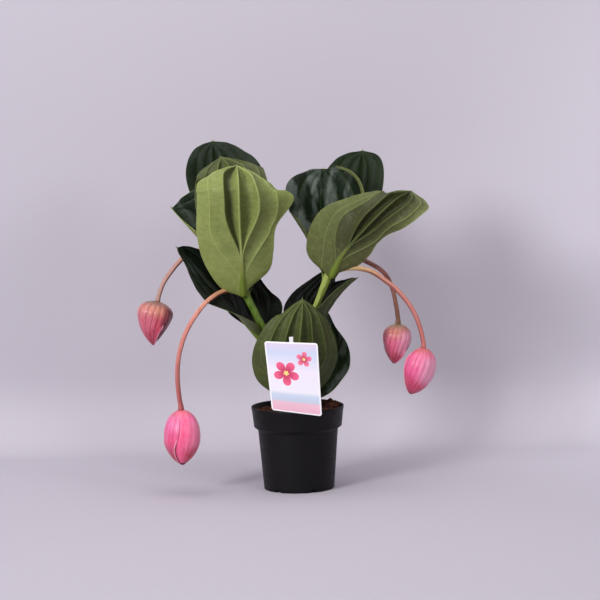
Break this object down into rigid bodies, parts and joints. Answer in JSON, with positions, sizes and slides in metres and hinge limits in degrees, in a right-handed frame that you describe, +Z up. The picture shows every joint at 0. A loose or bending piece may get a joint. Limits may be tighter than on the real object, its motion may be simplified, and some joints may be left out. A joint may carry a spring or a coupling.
{
  "type": "potted medinilla",
  "caption": "Flowering house plant in a round nursery pot: forked stem with large ribbed leaves, closed pink buds hanging from arching stalks, and a picture label on a stake.",
  "frame": {"origin": "middle of the pot's flat underside", "axes": "+Z up out of the pot, -Y is the front with the label and the front leaf, +X is the side of the two buds that hang close together"},
  "size_m": [0.4502, 0.224, 0.5218],
  "materials": {
    "pot": "matte",
    "soil": "matte",
    "stem": "satin",
    "leaf": "satin",
    "stalk": "satin",
    "bud": "satin",
    "card": "gloss",
    "stake": "gloss"
  },
  "bodies": {
    "root": {"pot": "pot", "soil": "soil", "stem": "stem", "leaf_left_front": "leaf", "leaf_left_inner": "leaf", "leaf_left_back": "leaf", "leaf_left_side": "leaf", "leaf_left_low": "leaf", "leaf_left_low_back": "leaf", "leaf_right_front": "leaf", "leaf_right_side": "leaf", "leaf_right_back": "leaf", "leaf_right_low": "leaf", "leaf_right_low_back": "leaf", "leaf_base_front": "leaf", "leaf_base_back": "leaf", "stalk_left_high": "stalk", "stalk_left_low": "stalk", "stalk_right_high": "stalk", "stalk_right_low": "stalk", "bud_left_high": "bud", "bud_left_low": "bud", "bud_right_high": "bud", "bud_right_low": "bud", "label_card": "card", "label_stake": "stake"}
  },
  "joints": []
}
